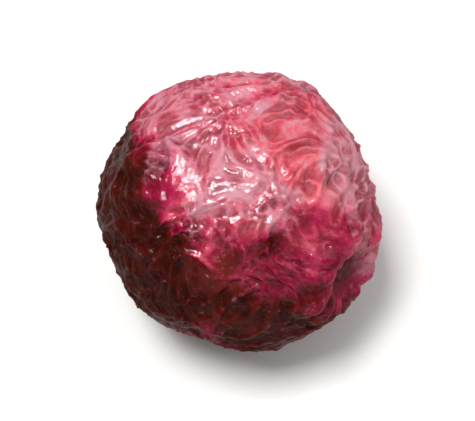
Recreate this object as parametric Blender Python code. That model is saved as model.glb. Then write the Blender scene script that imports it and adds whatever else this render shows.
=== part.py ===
# A dried plum: one small stone fruit, shrunken and wrinkled, lying on its side.
# It grew as one piece, so it is one solid: a round body with broad flats and dents, a hollow where the stem
# was, a point where the blossom was, a seam from the one to the other, and folded skin all over.
# Units are metres, +Z is up, and the origin is the middle of the spot that the fruit rests on.

import math

import bmesh
import bpy
import numpy as np

MM = 0.001

# Outside size
WIDTH = 24.0 * MM  # along X
DEPTH = 23.7 * MM  # along Y
HEIGHT = 22.0 * MM  # along Z, from the resting spot to the top
REST_CUT = 0.6 * MM  # what the resting spot takes off the underside

# Directions are (azimuth, elevation) in degrees, azimuth turning from +X towards +Y
STEM_END = (-38, 14)
SEAM_SIDE = (52, 8)

# Round body
BODY_RADII = np.array([12.0, 11.85, 11.3]) * MM
FLAT_EDGE = 22  # higher makes the edges between the flats sharper
FLATS = (  # azimuth, elevation, how deep the flat lies under the round body
    (120, 78, 0.5 * MM),
    (-76, 42, 0.9 * MM),
    (-140, 40, 0.6 * MM),
    (84, 31, 0.4 * MM),
    (156, 22, 0.6 * MM),
    (-156, -8, 0.8 * MM),
    (-110, -16, 0.5 * MM),
    (-8, 22, 0.35 * MM),
    (30, 13, 0.8 * MM),
    (60, -28, 0.7 * MM),
    (-20, -42, 0.5 * MM),
    (165, -44, 0.5 * MM),
)

# Broad dents of the shrunken flesh
DENT_PITCH = 11.0 * MM
DENT_DEPTH = 0.13 * MM

# Folds of the skin: narrow ridges round shallow hollows, the larger ones mostly running from end to end
FOLDS_AROUND = 16
FOLD_HEIGHT = 0.85 * MM
FOLD_LEAN = 0.5  # 1 lets the larger folds run in any direction, and less turns them towards the ends
CROSS_FOLDS_AROUND = 22
CROSS_FOLD_HEIGHT = 0.3 * MM
CREST_ROUNDING = 0.7
SKIN_LEVEL = 0.5  # share of a fold's height that stands inside the round body
SWAY_PITCH = 6.0 * MM
SWAY = 0.5 * MM

# Stem end: a hollow with a raised rim, the scar of the stem in it, and puckers that run out from it
HOLLOW_RADIUS = 2.1 * MM
HOLLOW_DEPTH = 1.9 * MM
RIM_RADIUS = 3.75 * MM
RIM_WIDTH = 1.35 * MM
RIM_HEIGHT = 0.35 * MM
SCAR_RADII = (0.65 * MM, 1.3 * MM)  # where its top ends and where its side ends
SCAR_HEIGHT = 0.6 * MM
PUCKERS = 13
PUCKER_HEIGHT = 0.4 * MM
PUCKER_REACH = (1.2 * MM, 3.2 * MM, 4.4 * MM, 8.0 * MM)  # from nothing to full height and to nothing again
PUCKER_WANDER = 0.6  # radians

# Seam and blossom end
SEAM_DEPTH = 0.3 * MM
SEAM_WIDTH = 0.8 * MM
SEAM_LIP = 0.5  # height of the swelling along each side, as a share of the seam's depth
SEAM_LIP_AT = 1.8 * MM
SEAM_ENDS = (0.12, 0.45)  # cosines between which the seam fades in on its own side
BLOSSOM_RADIUS = 1.7 * MM
BLOSSOM_DEPTH = 0.45 * MM
BLOSSOM_POINT_RADIUS = 0.7 * MM
BLOSSOM_POINT = 0.55 * MM
CALM_AT_STEM = (2.1 * MM, 6.4 * MM)  # between these distances from the end the folds come in
CALM_AT_BLOSSOM = (0.85 * MM, 3.4 * MM)

GRID = 30  # squares along each edge of the cube that the round mesh starts as
SNAP_TO_SPOT = 0.12 * MM  # corners this near the resting spot are moved onto it
WAVES = 48  # waves summed in each pattern
DENT_SEED, FOLD_SEED, CROSS_FOLD_SEED, SWAY_SEED, PUCKER_SEED = 5, 11, 12, 23, 31


def toward(azimuth, elevation):
    """The unit vector that points to an azimuth and elevation in degrees."""
    turn, rise = math.radians(azimuth), math.radians(elevation)
    return np.array([math.cos(turn) * math.cos(rise), math.sin(turn) * math.cos(rise), math.sin(rise)])


def fade_in(value, low, high):
    """0 below low, 1 above high, with an eased rise between."""
    share = np.clip((value - low) / (high - low), 0, 1)
    return share * share * (3 - 2 * share)


def hump(value, width):
    """1 at 0, falling off evenly on both sides, about 0 at twice the width."""
    return np.exp(-((value / width) ** 2))


def waves(points, pitch, seed):
    """Waves of one pitch and random headings, summed at each point: smooth highs and lows of about 1."""
    draw = np.random.default_rng(seed)
    headings = draw.normal(size=(WAVES, 3))
    headings /= np.linalg.norm(headings, axis=1, keepdims=True)
    phases = draw.uniform(0, 2 * math.pi, WAVES)
    return np.sin(points @ headings.T * (2 * math.pi / pitch) + phases).sum(axis=1) / math.sqrt(WAVES / 2)


def rings(rays, count, seed, lean=1):
    """Ring waves from random places on a ball, summed: lines of even spacing, count times round the ball."""
    draw = np.random.default_rng(seed)
    stem = toward(*STEM_END)
    places = draw.normal(size=(WAVES, 3))
    places -= (1 - lean) * np.outer(places @ stem, stem)
    places /= np.linalg.norm(places, axis=1, keepdims=True)
    angles = np.arccos(np.clip(rays @ places.T, -1, 1))
    return np.cos(count * angles).sum(axis=1) / math.sqrt(WAVES / 2)


def ridges(level):
    """Highest on narrow ridges where the level is zero, falling off into hollows between them."""
    return SKIN_LEVEL - np.tanh(np.sqrt(level**2 + CREST_ROUNDING**2))


def body_radius(rays):
    """Distance from the centre to the unwrinkled skin: an ellipsoid shaved by the flats, all blended softly."""
    steepest = np.linalg.norm(rays / BODY_RADII, axis=1) ** FLAT_EDGE
    for azimuth, elevation, inset in FLATS:
        normal = toward(azimuth, elevation)
        offset = np.linalg.norm(BODY_RADII * normal) - inset
        steepest += np.clip(rays @ normal / offset, 0, None) ** FLAT_EDGE
    return steepest ** (-1 / FLAT_EDGE)


def fold_relief(points):
    """Height of the folded skin at each point."""
    sway = [waves(points, SWAY_PITCH, SWAY_SEED + axis) for axis in range(3)]
    swayed = points + SWAY * np.stack(sway, axis=1)
    swayed /= np.linalg.norm(swayed, axis=1, keepdims=True)
    large = ridges(rings(swayed, FOLDS_AROUND, FOLD_SEED, FOLD_LEAN))
    small = ridges(rings(swayed, CROSS_FOLDS_AROUND, CROSS_FOLD_SEED))
    return FOLD_HEIGHT * large + CROSS_FOLD_HEIGHT * small


def stem_relief(points, reach, around):
    """The hollow, its rim, the scar in it and the puckers round it, from the distance to the stem axis."""
    hollow = -HOLLOW_DEPTH * hump(reach, HOLLOW_RADIUS)
    rim = RIM_HEIGHT * hump(reach - RIM_RADIUS, RIM_WIDTH)
    scar = SCAR_HEIGHT * (1 - fade_in(reach, *SCAR_RADII))
    wander = PUCKER_WANDER * waves(points, SWAY_PITCH, PUCKER_SEED)
    spokes = np.abs(np.sin(around * PUCKERS / 2 + wander)) - SKIN_LEVEL
    start, full, last, end = PUCKER_REACH
    band = fade_in(reach, start, full) * (1 - fade_in(reach, last, end))
    return hollow + rim + scar + PUCKER_HEIGHT * spokes * band


def seam_relief(points, rays, stem):
    """A shallow groove between low lips, along one meridian from the stem end to the blossom end."""
    across = np.cross(stem, toward(*SEAM_SIDE))
    across /= np.linalg.norm(across)
    own_side = fade_in(rays @ np.cross(across, stem), *SEAM_ENDS)
    offset = points @ across
    groove = hump(offset, SEAM_WIDTH) - SEAM_LIP * hump(np.abs(offset) - SEAM_LIP_AT, SEAM_WIDTH)
    return -SEAM_DEPTH * groove * own_side


def blossom_relief(reach):
    """A small dimple with the dry point of the blossom in the middle."""
    return BLOSSOM_POINT * hump(reach, BLOSSOM_POINT_RADIUS) - BLOSSOM_DEPTH * hump(reach, BLOSSOM_RADIUS)


def plum_skin(rays):
    """Points of the skin along each ray from the middle of the fruit."""
    stem = toward(*STEM_END)
    side = np.cross(stem, [0, 0, 1])
    side /= np.linalg.norm(side)
    radius = body_radius(rays)
    points = rays * radius[:, None]
    along = points @ stem
    reach = np.linalg.norm(points - np.outer(along, stem), axis=1)
    around = np.arctan2(points @ np.cross(stem, side), points @ side)
    stem_reach = np.where(along > 0, reach, WIDTH)
    blossom_reach = np.where(along < 0, reach, WIDTH)

    folded = fade_in(stem_reach, *CALM_AT_STEM) * fade_in(blossom_reach, *CALM_AT_BLOSSOM)
    radius += DENT_DEPTH * waves(points, DENT_PITCH, DENT_SEED)
    radius += fold_relief(points) * folded
    radius += stem_relief(points, stem_reach, around)
    radius += seam_relief(points, rays, stem)
    radius += blossom_relief(blossom_reach)
    return rays * radius[:, None]


def brought_to_size(points):
    """The skin at its outside size, low enough for the resting spot to be cut at zero height."""
    size = np.array([WIDTH, DEPTH, HEIGHT + REST_CUT])
    low, high = points.min(axis=0), points.max(axis=0)
    points = (points - (low + high) / 2) * size / (high - low)
    points[:, 2] += HEIGHT - points[:, 2].max()
    return points


def ball_of_squares():
    """A ball of even squares, blown up from a cube."""
    mesh = bmesh.new()
    bmesh.ops.create_cube(mesh, size=2)
    bmesh.ops.subdivide_edges(mesh, edges=mesh.edges[:], cuts=GRID - 1, use_grid_fill=True)
    for vertex in mesh.verts:
        for axis in range(3):
            vertex.co[axis] = math.tan(vertex.co[axis] * math.pi / 4)  # evens out the squares
        vertex.co.normalize()
    return mesh


def cut_resting_spot(mesh):
    """Take off what is under zero height and close the hole with one flat face."""
    whole = mesh.verts[:] + mesh.edges[:] + mesh.faces[:]
    level = dict(plane_co=(0, 0, 0), plane_no=(0, 0, 1))
    bmesh.ops.bisect_plane(mesh, geom=whole, dist=SNAP_TO_SPOT, use_snap_center=True, clear_inner=True, **level)
    rim = [edge for edge in mesh.edges if edge.is_boundary]
    bmesh.ops.contextual_create(mesh, geom=rim)


def skin_material():
    material = bpy.data.materials.new("dried_plum_skin")
    material.use_nodes = True
    surface = material.node_tree.nodes["Principled BSDF"]
    surface.inputs["Base Color"].default_value = (0.36, 0.024, 0.05, 1)
    surface.inputs["Roughness"].default_value = 0.38
    surface.inputs["Metallic"].default_value = 0
    return material


def make_plum():
    mesh = ball_of_squares()
    rays = np.array([vertex.co for vertex in mesh.verts])
    for vertex, point in zip(mesh.verts, brought_to_size(plum_skin(rays))):
        vertex.co = point
    cut_resting_spot(mesh)
    bmesh.ops.triangulate(mesh, faces=mesh.faces[:], quad_method="SHORT_EDGE")
    bmesh.ops.recalc_face_normals(mesh, faces=mesh.faces[:])
    data = bpy.data.meshes.new("plum")
    mesh.to_mesh(data)
    mesh.free()
    data.shade_smooth()
    data.materials.append(skin_material())
    plum = bpy.data.objects.new("plum", data)
    bpy.context.scene.collection.objects.link(plum)


for old in list(bpy.data.objects):
    bpy.data.objects.remove(old)
make_plum()
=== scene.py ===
import math

import bpy
import numpy as np
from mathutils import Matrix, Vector


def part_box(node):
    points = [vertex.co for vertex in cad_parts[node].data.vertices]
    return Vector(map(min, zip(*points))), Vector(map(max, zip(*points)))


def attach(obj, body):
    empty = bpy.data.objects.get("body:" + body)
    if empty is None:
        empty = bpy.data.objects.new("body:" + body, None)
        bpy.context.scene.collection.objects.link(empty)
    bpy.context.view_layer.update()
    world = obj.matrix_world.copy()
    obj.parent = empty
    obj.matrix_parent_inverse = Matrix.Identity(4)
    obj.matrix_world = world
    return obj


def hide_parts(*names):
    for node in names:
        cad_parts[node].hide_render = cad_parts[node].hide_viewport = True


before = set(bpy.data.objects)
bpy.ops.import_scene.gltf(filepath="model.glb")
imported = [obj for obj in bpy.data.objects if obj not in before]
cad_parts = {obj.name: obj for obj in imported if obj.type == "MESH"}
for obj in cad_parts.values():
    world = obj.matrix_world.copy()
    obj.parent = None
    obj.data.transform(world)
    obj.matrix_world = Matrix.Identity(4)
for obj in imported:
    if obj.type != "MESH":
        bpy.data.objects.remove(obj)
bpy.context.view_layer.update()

mm = 0.001
wavesSummed = 48  # in each pattern; more of them make it more even

# The fruit's form, in millimetres and degrees. It is the form that the frame's solid has, with finer skin. A
# place on it is an azimuth, from +X towards +Y, and an elevation.
fruit = {
    "cuts": (31, 3),  # in a cube's edges, one after the other, for 32 x 4 squares along each
    "radii": (12.0, 11.85, 11.3),
    "restCut": 0.6,  # what the resting spot takes off the bottom
    "restSoft": 0.12,  # how gently the skin comes down to the resting spot
    "stemEnd": (-38, 14),
    "seamSide": (52, 8),
    "flatEdge": 22,  # higher makes the edges between the flats sharper
    "flats": (  # azimuth, elevation, depth under the round body
        (120, 78, 0.5),
        (-76, 42, 0.9),
        (-140, 40, 0.6),
        (84, 31, 0.4),
        (156, 22, 0.6),
        (-156, -8, 0.8),
        (-110, -16, 0.5),
        (-8, 22, 0.35),
        (30, 13, 0.8),
        (60, -28, 0.7),
        (-20, -42, 0.5),
        (165, -44, 0.5),
    ),
    # Crests all over the skin: how many would fit round the fruit, how high, how blunt, and how much of one
    # stands above the skin. With a lean of 0 they all run from end to end, and with 1 every way.
    "folds": (  # the solid has these too
        {"around": 16, "height": 0.5, "blunt": 0.35, "level": 0.5, "lean": 0.5, "seed": 11},
        {"around": 22, "height": 0.36, "blunt": 0.35, "level": 0.5, "lean": 1, "seed": 12},
    ),
    "wrinkles": (  # only the finer mesh can hold these
        {"around": 40, "height": 0.3, "blunt": 0.45, "level": 0.5, "lean": 0.6, "seed": 13},
        {"around": 68, "height": 0.15, "blunt": 0.5, "level": 0.5, "lean": 1, "seed": 14},
    ),
    # relief on the floors of the pockets between the wrinkles
    "pockets": {"around": 88, "height": 0.1, "blunt": math.sqrt(0.1), "level": 0.6, "lean": 1, "seed": 15},
    "pocketDepth": 0.12,  # of the deepest floors, before their relief
    "sway": {"pitch": 6.0, "by": 0.5, "seed": 23},  # of the folds' lines
    "fineSway": {"pitch": 2.4, "by": 0.16, "seed": 27},  # of the wrinkles' lines, on top of that
    # wrinkles come and go along their length, between these shares of their height
    "broken": {"pitch": 2.7, "by": 0.36, "seed": 33, "between": (0.25, 1.8)},
    "wrinkledAtEnds": 0.35,  # the share of their height left in the stem hollow and at the blossom point
    # where wrinkles are low: azimuth, elevation, cosines of the edge and of the calm middle, share
    "calmCheeks": (
        (10, 61, 0.8, 0.97, 0.5),
        (-80, 36, 0.86, 0.97, 0.35),
    ),
    "leastWrinkled": 0.25,  # the share left there and on the glossy patch, at the least
    # a smooth patch that leans over to catch the light: its place, the way that it faces, the distances from
    # its middle between which it fades out, its uneven edge, and what it takes off the folds and the grain
    "glossyPatch": {
        "place": (-161, 65),
        "facing": (-119, 75),
        "fade": (1.0, 2.4),
        "edge": {"pitch": 2.6, "by": 0.5, "seed": 62},
        "offFolds": 0.8,
        "offGrain": 0.75,
    },
    "dent": {"pitch": 11.0, "depth": 0.13, "seed": 5},
    "grain": {"pitch": 0.95, "depth": 0.02, "seed": 6},
    # the stem's hollow, the rim round it, the scar in its middle and the puckers that run out from it
    "hollow": {"radius": 2.1, "depth": 1.9},
    "rim": {"at": 3.75, "width": 1.35, "height": 0.35},
    "scar": {"radii": (0.65, 1.3), "height": 0.6},
    "puckers": {
        "count": 13,
        "height": 0.4,
        "level": 0.5,
        "reach": (1.2, 3.2, 4.4, 8.0),  # where they start, are full, get lower and end
        "wander": 0.6,
        "seed": 31,
    },
    # a groove on one side only, with a lip along each edge; it comes in between the cosines in ends
    "seam": {"depth": 0.3, "width": 0.8, "lip": 0.5, "lipAt": 1.8, "ends": (0.12, 0.45)},
    "blossom": {"radius": 1.7, "depth": 0.45, "pointRadius": 0.7, "point": 0.55},
    "calmAtStem": (2.1, 6.4),  # the folds come in between these distances from the end
    "calmAtBlossom": (0.85, 3.4),
    "farAway": 24.0,  # stands for the distance from an end on the fruit's other half
}


def toward(azimuth, elevation):
    turn, rise = math.radians(azimuth), math.radians(elevation)
    return np.array([math.cos(turn) * math.cos(rise), math.sin(turn) * math.cos(rise), math.sin(rise)])


def unit(vectors):
    return vectors / np.linalg.norm(vectors, axis=-1, keepdims=True)


def fadeIn(value, low, high):
    share = np.clip((value - low) / (high - low), 0, 1)
    return share * share * (3 - 2 * share)


def hump(value, width):
    return np.exp(-((value / width) ** 2))


def waves(points, pitch, seed):
    # smooth highs and lows of about 1, a pitch apart
    draw = np.random.default_rng(seed)
    headings = unit(draw.normal(size=(wavesSummed, 3)))
    phases = draw.uniform(0, 2 * math.pi, wavesSummed)
    summed = np.sin(points @ headings.T * (2 * math.pi / pitch) + phases).sum(axis=1)
    return summed / math.sqrt(wavesSummed / 2)


def push(points, sway):
    # how far each point is pushed along the three axes
    along = [waves(points, sway["pitch"], sway["seed"] + axis) for axis in range(3)]
    return sway["by"] * np.stack(along, axis=1)


def crests(rays, ridge):
    # ring waves from random places on a ball, so their lines are evenly spaced all over it
    draw = np.random.default_rng(ridge["seed"])
    stem = toward(*fruit["stemEnd"])
    places = draw.normal(size=(wavesSummed, 3))
    places = unit(places - (1 - ridge["lean"]) * np.outer(places @ stem, stem))
    angles = np.arccos(np.clip(rays @ places.T, -1, 1))
    rings = np.cos(ridge["around"] * angles).sum(axis=1) / math.sqrt(wavesSummed / 2)
    return ridge["level"] - np.tanh(np.sqrt(rings**2 + ridge["blunt"] ** 2))


def bodyRadius(rays):
    radii = np.array(fruit["radii"])
    steepest = np.linalg.norm(rays / radii, axis=1) ** fruit["flatEdge"]
    for azimuth, elevation, inset in fruit["flats"]:
        normal = toward(azimuth, elevation)
        offset = np.linalg.norm(radii * normal) - inset
        steepest += np.clip(rays @ normal / offset, 0, None) ** fruit["flatEdge"]
    return steepest ** (-1 / fruit["flatEdge"])


def stemRelief(points, reach, around):
    hollow, rim, scar, puckers = fruit["hollow"], fruit["rim"], fruit["scar"], fruit["puckers"]
    relief = -hollow["depth"] * hump(reach, hollow["radius"])
    relief += rim["height"] * hump(reach - rim["at"], rim["width"])
    relief += scar["height"] * (1 - fadeIn(reach, *scar["radii"]))
    wander = puckers["wander"] * waves(points, fruit["sway"]["pitch"], puckers["seed"])
    spokes = np.abs(np.sin(around * puckers["count"] / 2 + wander)) - puckers["level"]
    start, full, last, end = puckers["reach"]
    band = fadeIn(reach, start, full) * (1 - fadeIn(reach, last, end))
    return relief + puckers["height"] * spokes * band


def seamRelief(points, rays, stem):
    seam = fruit["seam"]
    across = unit(np.cross(stem, toward(*fruit["seamSide"])))
    ownSide = fadeIn(rays @ np.cross(across, stem), *seam["ends"])
    offset = points @ across
    groove = hump(offset, seam["width"]) - seam["lip"] * hump(np.abs(offset) - seam["lipAt"], seam["width"])
    return -seam["depth"] * groove * ownSide


def wrinkleHeight(rays, swayedRays, points, folded, glossy):
    height = np.zeros(len(rays))
    for wrinkle in fruit["wrinkles"]:
        height += wrinkle["height"] * crests(swayedRays, wrinkle)
    calm = 1 - glossy
    for azimuth, elevation, edge, full, share in fruit["calmCheeks"]:
        calm -= share * fadeIn(rays @ toward(azimuth, elevation), edge, full)
    calm = np.clip(calm, fruit["leastWrinkled"], 1)
    broken = fruit["broken"]
    uneven = np.clip(1 + broken["by"] * waves(points, broken["pitch"], broken["seed"]), *broken["between"])
    height *= (fruit["wrinkledAtEnds"] + (1 - fruit["wrinkledAtEnds"]) * folded) * calm * uneven

    deepest, pockets = fruit["pocketDepth"], fruit["pockets"]
    height = deepest * np.tanh(height / deepest)
    onFloor = np.clip(-height / deepest, 0, 1) * calm
    return height + pockets["height"] * onFloor * crests(swayedRays, pockets)


def foldedSkin(rays):
    # the skin's point on each ray, its height in the folds and in the wrinkles, its share in the glossy
    # patch, and its distances from the stem and from the blossom point
    stem = toward(*fruit["stemEnd"])
    side = unit(np.cross(stem, [0, 0, 1]))
    radius = bodyRadius(rays)
    points = rays * radius[:, None]

    patch = fruit["glossyPatch"]
    facing = toward(*patch["facing"])
    middle = bodyRadius(toward(*patch["place"])[None])[0] * toward(*patch["place"])
    wander = patch["edge"]["by"] * waves(points, patch["edge"]["pitch"], patch["edge"]["seed"])
    glossy = 1 - fadeIn(np.linalg.norm(points - middle, axis=1) + wander, *patch["fade"])
    leastCosine = 0.1  # keeps the patch's plane finite on the sides that it never reaches
    plane = (middle @ facing) / np.maximum(rays @ facing, leastCosine)
    radius += glossy * (plane - radius)

    points = rays * radius[:, None]
    along = points @ stem
    reach = np.linalg.norm(points - np.outer(along, stem), axis=1)
    around = np.arctan2(points @ np.cross(stem, side), points @ side)
    stemReach = np.where(along > 0, reach, fruit["farAway"])
    blossomReach = np.where(along < 0, reach, fruit["farAway"])
    folded = fadeIn(stemReach, *fruit["calmAtStem"]) * fadeIn(blossomReach, *fruit["calmAtBlossom"])

    swayed = points + push(points, fruit["sway"])
    broad = np.zeros(len(rays))
    for fold in fruit["folds"]:
        broad += fold["height"] * folded * crests(unit(swayed), fold)
    broad *= 1 - patch["offFolds"] * glossy
    swayedMore = swayed + push(points, fruit["fineSway"])
    wrinkled = wrinkleHeight(rays, unit(swayedMore), points, folded, glossy)
    radius += broad + wrinkled

    dent, grain, blossom = fruit["dent"], fruit["grain"], fruit["blossom"]
    radius += dent["depth"] * waves(points, dent["pitch"], dent["seed"])
    grainLeft = 1 - patch["offGrain"] * glossy
    radius += grain["depth"] * grainLeft * waves(points, grain["pitch"], grain["seed"])
    radius += stemRelief(points, stemReach, around)
    radius += seamRelief(points, rays, stem)
    radius += blossom["point"] * hump(blossomReach, blossom["pointRadius"])
    radius -= blossom["depth"] * hump(blossomReach, blossom["radius"])
    return rays * radius[:, None], broad, wrinkled, glossy, stemReach, blossomReach


def fitToFrame(points):
    # brings the skin to the solid's own box, and settles what is under the surface onto it
    low, high = (np.array(corner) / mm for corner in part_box("plum"))
    size = high - low
    size[2] += fruit["restCut"]
    was = (points.min(axis=0), points.max(axis=0))
    points = (points - (was[0] + was[1]) / 2) * size / (was[1] - was[0])
    points[:, 2] += high[2] - points[:, 2].max()
    points[:, 2] = (points[:, 2] + np.sqrt(points[:, 2] ** 2 + fruit["restSoft"] ** 2)) / 2
    points[:, 2] *= high[2] / points[:, 2].max()
    return points


# The skin's colours and shine, in sRGB hex values and millimetres
skin = {
    # What differs over the skin: each starts at a base, and zones and patterns add to it. A zone is its
    # place, the cosines from which it starts and is full, how much it adds, and how far its edge wanders.
    "shades": {
        # pigment, from 0, brown-black, through crimson to 1, rose, with zones of painted light and painted
        # shade on top
        "ripe": {
            "base": 0.45,
            "zones": (
                ((75, 60), (0.36, 0.62), 0.38, 0.08),  # painted light on the upper back, and the side that had the sun
                # painted shade on the left side
                ((-164, 20), (0.58, 0.84), -0.27, 0.06),
                ((-144, -48), (-0.3, 0), -0.34, 0.05),  # painted shade on the underside
                # painted light along the right edge
                ((6, 18), (0.76, 0.9), 0.3, 0.05),
                # painted shade on the left and on the front left
                ((-161, 54), (0.94, 0.985), -0.12, 0.02),
                ((-115, 33), (0.86, 0.96), -0.14, 0.03),
                ((-121, 53), (0.96, 0.992), 0.46, 0.005),
            ),
            "patterns": ((8.0, 0.07, 41), (2.6, 0.07, 42)),  # pitch, strength, seed
        },
        # the dusty veil over the pigment, with a painted sheen where it is thickest: on the upper back, along
        # the right edge and in the middle
        "bloom": {
            "base": -0.15,
            "zones": (
                ((75, 60), (0.42, 0.66), 0.8, 0.06),
                ((-90, 74), (0.9, 0.97), 0.3, 0.04),
                # painted sheen along the right edge
                ((6, 18), (0.76, 0.9), 0.75, 0.05),
                ((-164, 20), (0.7, 0.84), -0.8, 0.05),
                ((14, 62), (0.84, 0.96), -0.35, 0.04),
                # painted sheen in the middle
                ((-109, 57), (0.975, 0.993), 0.25, 0.005),
            ),
            "patterns": ((6.0, 0.07, 51), (2.2, 0.07, 53)),
        },
        # a salmon cast high on the right side
        "warm": {
            "base": -0.06,
            "zones": (((14, 60), (0.8, 0.95), 0.42, 0.04),),
            "patterns": ((7.0, 0.06, 52),),
        },
    },
    "zoneEdge": {"pitch": 4.5, "seed": 43},  # each zone of a shade takes the next seed
    # the heights and the distance that go from 0 to 1 for the colours
    "foldSpan": 0.7,
    "wrinkleSpan": 0.13,
    "reachSpan": 10.0,
    "pigment": (
        (0.0, "#3c0b03"),
        (0.1, "#500e05"),
        (0.18, "#5e0d0e"),
        (0.3, "#780c2a"),
        (0.45, "#a00e42"),
        (0.7, "#c4405e"),
        (1.0, "#d06e7a"),
    ),
    # pigment lighter on the fold crests and darker between them: painted highlight and painted shade
    "paintedLightOnFolds": 0.2,
    "fleck": {"size": 0.7, "onPigment": 0.8, "onDustAndSheen": 2.5, "lessDustAndSheen": 1.38},  # specks 0.7 mm apart
    "salmon": "#d6585c",
    # the colour of the bloom and of the painted sheen
    "dustAndSheen": "#b68c98",
    "dustAndHighlightOnCrests": ((0.0, 0.56), (0.5, 0.68), (1.0, 0.77)),  # from the pockets to the crests, paler on the crests as dust and painted highlight
    "dustAndSheenWhereBloom": ((0.1, 0.0), (0.55, 0.6), (1.0, 1.0)),
    # painted shade in the pockets between the wrinkles, darkest in the deepest
    "pocketShade": ((0.0, "#944250"), (0.4, "#d09aa2"), (0.8, "#ffffff")),
    "pocketShadeShare": 0.75,  # how much of that painted shade is used
    # colour at the two ends, and how it fades out from them
    "stemScar": ("#4a1c16", ((0.07, 0.9), (0.13, 0.75), (0.24, 0.0))),
    "blossomPoint": ("#42120c", ((0.03, 0.9), (0.09, 0.0))),
    "crinkle": {"size": 0.8, "depth": 0.1, "onPatch": 0.7},  # creases of the film 0.8 mm apart
    "pores": {"size": 0.25, "depth": 0.05, "strength": 0.8},  # pores of dried skin, 0.25 mm
    "roughness": ((0.3, 0.3), (0.7, 0.5)),  # over the flecks
    "filmFacing": ((0.0, 0.85), (0.16, 0.56), (0.44, 0.0)),  # from where it faces the eye to where it slants
    "filmRipe": ((0.15, 0.28), (0.5, 1.0)),  # from the brown skin to the red
    "surface": {
        "IOR": 1.42,
        "Specular IOR Level": 0.06,
        "Specular Tint": "#f0b4a8",
        "Subsurface Weight": 0.2,
        "Subsurface Radius": (1.0, 0.22, 0.15),
        "Subsurface Scale": 1.0 * mm,
        "Coat Roughness": 0.13,
        "Coat IOR": 1.7,
    },
}


def shade(recipe, rays, points):
    amount = np.full(len(rays), recipe["base"])
    edge = skin["zoneEdge"]
    for number, (place, (start, full), adds, wander) in enumerate(recipe["zones"]):
        nearness = rays @ toward(*place) + wander * waves(points, edge["pitch"], edge["seed"] + number)
        amount += adds * fadeIn(nearness, start, full)
    for pitch, strength, seed in recipe["patterns"]:
        amount += strength * waves(points, pitch, seed)
    return amount


def linear(hexColour):
    # an sRGB hex value as the linear colour that the shader wants
    parts = [int(hexColour[i : i + 2], 16) / 255 for i in (1, 3, 5)]
    return [p / 12.92 if p <= 0.04045 else ((p + 0.055) / 1.055) ** 2.4 for p in parts] + [1]


def addNode(tree, kind, settings=None, stops=(), **inputs):
    # Stops are a colour ramp's, each a position with a hex or grey value. Inputs are values, or pairs of a
    # node and its output to link from; _ stands for a space in a socket's name, and n with a number for the
    # socket of that number.
    node = tree.nodes.new(kind)
    for key, value in (settings or {}).items():
        setattr(node, key, value)
    for key, value in inputs.items():
        numbered = key[0] == "n" and key[1:].isdigit()
        socket = node.inputs[int(key[1:]) if numbered else key.replace("_", " ")]
        if isinstance(value, tuple) and isinstance(value[0], bpy.types.Node):
            tree.links.new(value[0].outputs[value[1]], socket)
        else:
            socket.default_value = value
    if stops:
        elements = node.color_ramp.elements
        while len(elements) < len(stops):
            elements.new(0.5)
        for element, (position, colour) in zip(elements, stops):
            element.position = position
            element.color = linear(colour) if isinstance(colour, str) else (colour, colour, colour, 1)
    return node


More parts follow.
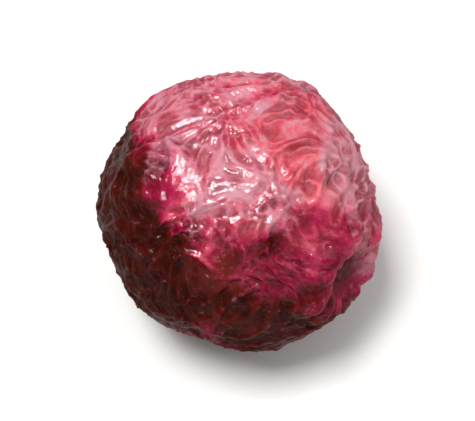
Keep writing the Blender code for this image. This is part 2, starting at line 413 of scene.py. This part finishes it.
def driedPlumSkin():
    # Dried stone-fruit skin: a tough, waxy film over translucent red flesh. To the eye it is crimson to
    # maroon, dusty and painted paler on its crests, and glints in small spots where it faces the light. Its
    # colour also holds painted light on the upper side and right edge, and painted shade on the left, the
    # underside and in the pockets.
    print("plum: its dried skin")
    material = bpy.data.materials.new("driedPlumSkin")
    material.use_nodes = True
    tree = material.node_tree
    surface = tree.nodes["Principled BSDF"]
    place = addNode(tree, "ShaderNodeTexCoord")
    inMm = addNode(tree, "ShaderNodeMapping", n0=(place, "Object"), Scale=(1 / mm, 1 / mm, 1 / mm))
    fold, wrinkle, glossy, ripe, bloom, warm, stemReach, blossomReach = (
        addNode(tree, "ShaderNodeAttribute", {"attribute_name": name})
        for name in ("fold", "wrinkle", "glossy", "ripe", "bloom", "warm", "stemReach", "blossomReach")
    )
    blend = {"data_type": "RGBA"}
    tintBy = {"data_type": "RGBA", "blend_type": "MULTIPLY"}
    scaleAndAdd = {"operation": "MULTIPLY_ADD"}
    addUpToOne = {"operation": "ADD", "use_clamp": True}

    # pigment, from nearly black maroon through crimson to rose, flecked, and brighter on the folds as a
    # painted highlight; the tone it reads also holds painted light and painted shade
    flecks = skin["fleck"]
    fleck = addNode(
        tree, "ShaderNodeTexNoise", Vector=(inMm, 0), Scale=1 / flecks["size"], Detail=5, Roughness=0.75
    )
    byFleck, byFoldLight = flecks["onPigment"], skin["paintedLightOnFolds"]
    flecked = addNode(tree, "ShaderNodeMath", scaleAndAdd, n0=(fleck, 0), n1=byFleck, n2=-byFleck / 2)
    foldLightAndShade = addNode(tree, "ShaderNodeMath", scaleAndAdd, n0=(fold, "Fac"), n1=byFoldLight, n2=-byFoldLight / 2)
    uneven = addNode(tree, "ShaderNodeMath", {"operation": "ADD"}, n0=(flecked, 0), n1=(foldLightAndShade, 0))
    tone = addNode(tree, "ShaderNodeMath", addUpToOne, n0=(uneven, 0), n1=(ripe, "Fac"))
    pigment = addNode(tree, "ShaderNodeValToRGB", stops=skin["pigment"], n0=(tone, 0))
    salmon = linear(skin["salmon"])
    warmed = addNode(tree, "ShaderNodeMix", blend, n0=(warm, "Fac"), n6=(pigment, 0), n7=salmon)

    # a dull pink bloom with a painted sheen, thickest on the crests of the wrinkles as a painted highlight,
    # and the pockets between them darker as painted shade
    dustAndHighlight = addNode(tree, "ShaderNodeValToRGB", stops=skin["dustAndHighlightOnCrests"], n0=(wrinkle, "Fac"))
    dustAndSheenFleck = addNode(
        tree, "ShaderNodeMath", scaleAndAdd, n0=(fleck, 0), n1=flecks["onDustAndSheen"], n2=-flecks["lessDustAndSheen"]
    )
    speckled = addNode(tree, "ShaderNodeMath", addUpToOne, n0=(bloom, "Fac"), n1=(dustAndSheenFleck, 0))
    dustAndSheenHere = addNode(tree, "ShaderNodeValToRGB", stops=skin["dustAndSheenWhereBloom"], n0=(speckled, 0))
    dustAndSheenShare = addNode(tree, "ShaderNodeMath", {"operation": "MULTIPLY"}, n0=(dustAndHighlight, 0), n1=(dustAndSheenHere, 0))
    withDustAndSheen = addNode(tree, "ShaderNodeMix", blend, n0=(dustAndSheenShare, 0), n6=(warmed, 2), n7=linear(skin["dustAndSheen"]))
    # painted shade in the pockets
    pocketShadeTint = addNode(tree, "ShaderNodeValToRGB", stops=skin["pocketShade"], n0=(wrinkle, "Fac"))
    coloured = addNode(tree, "ShaderNodeMix", tintBy, n0=skin["pocketShadeShare"], n6=(withDustAndSheen, 2), n7=(pocketShadeTint, 0))

    # the stem's scar is dry and brown, and so is the point that the blossom left
    for reach, (colour, fade) in ((stemReach, skin["stemScar"]), (blossomReach, skin["blossomPoint"])):
        here = addNode(tree, "ShaderNodeValToRGB", stops=fade, n0=(reach, "Fac"))
        coloured = addNode(tree, "ShaderNodeMix", blend, n0=(here, 0), n6=(coloured, 2), n7=linear(colour))
    tree.links.new(coloured.outputs[2], surface.inputs["Base Color"])

    # the film is crinkled finer than the wrinkles, less on the glossy patch, and it is grainy with pores
    crinkle, pores = skin["crinkle"], skin["pores"]
    creases = addNode(
        tree, "ShaderNodeTexNoise", {"noise_type": "RIDGED_MULTIFRACTAL"},
        Vector=(inMm, 0), Scale=1 / crinkle["size"], Detail=3, Roughness=0.6, Distortion=0.6,
    )
    pits = addNode(
        tree, "ShaderNodeTexNoise", Vector=(inMm, 0), Scale=1 / pores["size"], Detail=3, Roughness=0.6
    )
    tight = addNode(tree, "ShaderNodeMapRange", Value=(glossy, "Fac"), To_Min=1, To_Max=crinkle["onPatch"])
    crinkled = addNode(
        tree, "ShaderNodeBump", Strength=(tight, 0), Distance=crinkle["depth"] * mm, Height=(creases, 0)
    )
    grained = addNode(
        tree, "ShaderNodeBump",
        Strength=pores["strength"], Distance=pores["depth"] * mm, Height=(pits, 0), Normal=(crinkled, 0),
    )
    tree.links.new(grained.outputs[0], surface.inputs["Normal"])
    tree.links.new(grained.outputs[0], surface.inputs["Coat Normal"])
    rough = addNode(tree, "ShaderNodeValToRGB", stops=skin["roughness"], n0=(fleck, 0))
    tree.links.new(rough.outputs[0], surface.inputs["Roughness"])

    # the waxy film loses its shine where it is seen at a slant, so that the wrinkles get no pale rims, and
    # where the skin is brown
    slant = addNode(tree, "ShaderNodeLayerWeight", Blend=0.5)
    shine = addNode(tree, "ShaderNodeValToRGB", stops=skin["filmFacing"], n0=(slant, "Facing"))
    ripeShine = addNode(tree, "ShaderNodeValToRGB", stops=skin["filmRipe"], n0=(ripe, "Fac"))
    film = addNode(tree, "ShaderNodeMath", {"operation": "MULTIPLY"}, n0=(shine, 0), n1=(ripeShine, 0))
    tree.links.new(film.outputs[0], surface.inputs["Coat Weight"])
    for name, value in skin["surface"].items():
        surface.inputs[name].default_value = linear(value) if isinstance(value, str) else value
    return material


def storeOnPoints(piece, name, values):
    # what the skin's material reads, from 0 to 1
    attribute = piece.data.attributes.new(name, "FLOAT", "POINT")
    attribute.data.foreach_set("value", np.clip(values, 0, 1).astype(np.float32))


def makePlum():
    print("plum: a cube, cut fine and blown up round")
    bpy.ops.object.select_all(action="DESELECT")
    bpy.ops.mesh.primitive_cube_add(size=2)
    plum = bpy.context.object
    plum.name = "plumSkin"
    bpy.ops.object.mode_set(mode="EDIT")
    bpy.ops.mesh.select_all(action="SELECT")
    for cuts in fruit["cuts"]:
        bpy.ops.mesh.subdivide(number_cuts=cuts)
    bpy.ops.object.mode_set(mode="OBJECT")
    corners = np.empty(len(plum.data.vertices) * 3)
    plum.data.vertices.foreach_get("co", corners)
    rays = unit(np.tan(corners.reshape(-1, 3) * math.pi / 4))  # the tangent evens out the squares

    print("plum: folds of the skin")
    points, broad, wrinkled, glossy, stemReach, blossomReach = foldedSkin(rays)
    plum.data.vertices.foreach_set("co", (fitToFrame(points) * mm).ravel())
    plum.data.update()
    storeOnPoints(plum, "fold", 0.5 + broad / skin["foldSpan"])
    storeOnPoints(plum, "wrinkle", 1 + wrinkled / skin["wrinkleSpan"])
    storeOnPoints(plum, "glossy", glossy)
    for name, recipe in skin["shades"].items():
        storeOnPoints(plum, name, shade(recipe, rays, points))
    storeOnPoints(plum, "stemReach", stemReach / skin["reachSpan"])
    storeOnPoints(plum, "blossomReach", blossomReach / skin["reachSpan"])
    bpy.ops.object.shade_smooth()
    return plum


card = {"side": 1.2, "colour": "#f2f1ef", "roughness": 0.9}


def whiteCard():
    # matt white card: even and bright, so that the fruit's own colour stands out
    material = bpy.data.materials.new("whiteCard")
    material.use_nodes = True
    surface = material.node_tree.nodes["Principled BSDF"]
    surface.inputs["Base Color"].default_value = linear(card["colour"])
    surface.inputs["Roughness"].default_value = card["roughness"]
    return material


def makeFloor():
    print("floor")
    bpy.ops.object.select_all(action="DESELECT")
    bpy.ops.mesh.primitive_plane_add(size=card["side"])
    floor = bpy.context.object
    floor.name = "floor"
    floor.data.materials.append(whiteCard())


studio = {
    "lights": (  # name, place in metres, side in metres, watts, colour
        ("window", (-0.055, -0.005, 0.23), 0.075, 0.52, "#ffffff"),
        ("overhead", (0.1, 0.05, 0.23), 0.4, 0.36, "#ffffff"),
    ),
    "lit": (0, 0, 0.01),  # what both lights face
    "sky": ("#ffffff", 0.22),
    "camera": {
        "lens": 90,
        "nearest": 0.005,
        "azimuth": 0,
        "elevation": 67,
        "distance": 0.1,
        "target": (0, 0, 0.0108),
    },
}


def aimed(item, place, target):
    item.location = place
    item.rotation_euler = (Vector(target) - Vector(place)).to_track_quat("-Z", "Y").to_euler()


def makeLights():
    print("lights")
    for name, place, side, watts, colour in studio["lights"]:
        bpy.ops.object.light_add(type="AREA")
        light = bpy.context.object
        light.name = name
        light.data.size = side
        light.data.energy = watts
        light.data.color = linear(colour)[:3]
        aimed(light, place, studio["lit"])
    world = bpy.data.worlds.new("paleRoom")
    world.use_nodes = True
    colour, strength = studio["sky"]
    world.node_tree.nodes["Background"].inputs["Color"].default_value = linear(colour)
    world.node_tree.nodes["Background"].inputs["Strength"].default_value = strength
    bpy.context.scene.world = world


def makeCamera():
    print("camera")
    view = studio["camera"]
    turn, rise = math.radians(view["azimuth"]), math.radians(view["elevation"])
    back = Vector((math.sin(turn) * math.cos(rise), -math.cos(turn) * math.cos(rise), math.sin(rise)))
    bpy.ops.object.camera_add()
    camera = bpy.context.object
    camera.data.lens = view["lens"]
    camera.data.clip_start = view["nearest"]
    aimed(camera, Vector(view["target"]) + back * view["distance"], view["target"])
    bpy.context.scene.camera = camera


plum = makePlum()
plum.data.materials.append(driedPlumSkin())
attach(plum, "root")
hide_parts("plum")

makeFloor()
bpy.context.scene.view_settings.view_transform = "Standard"
makeLights()
makeCamera()
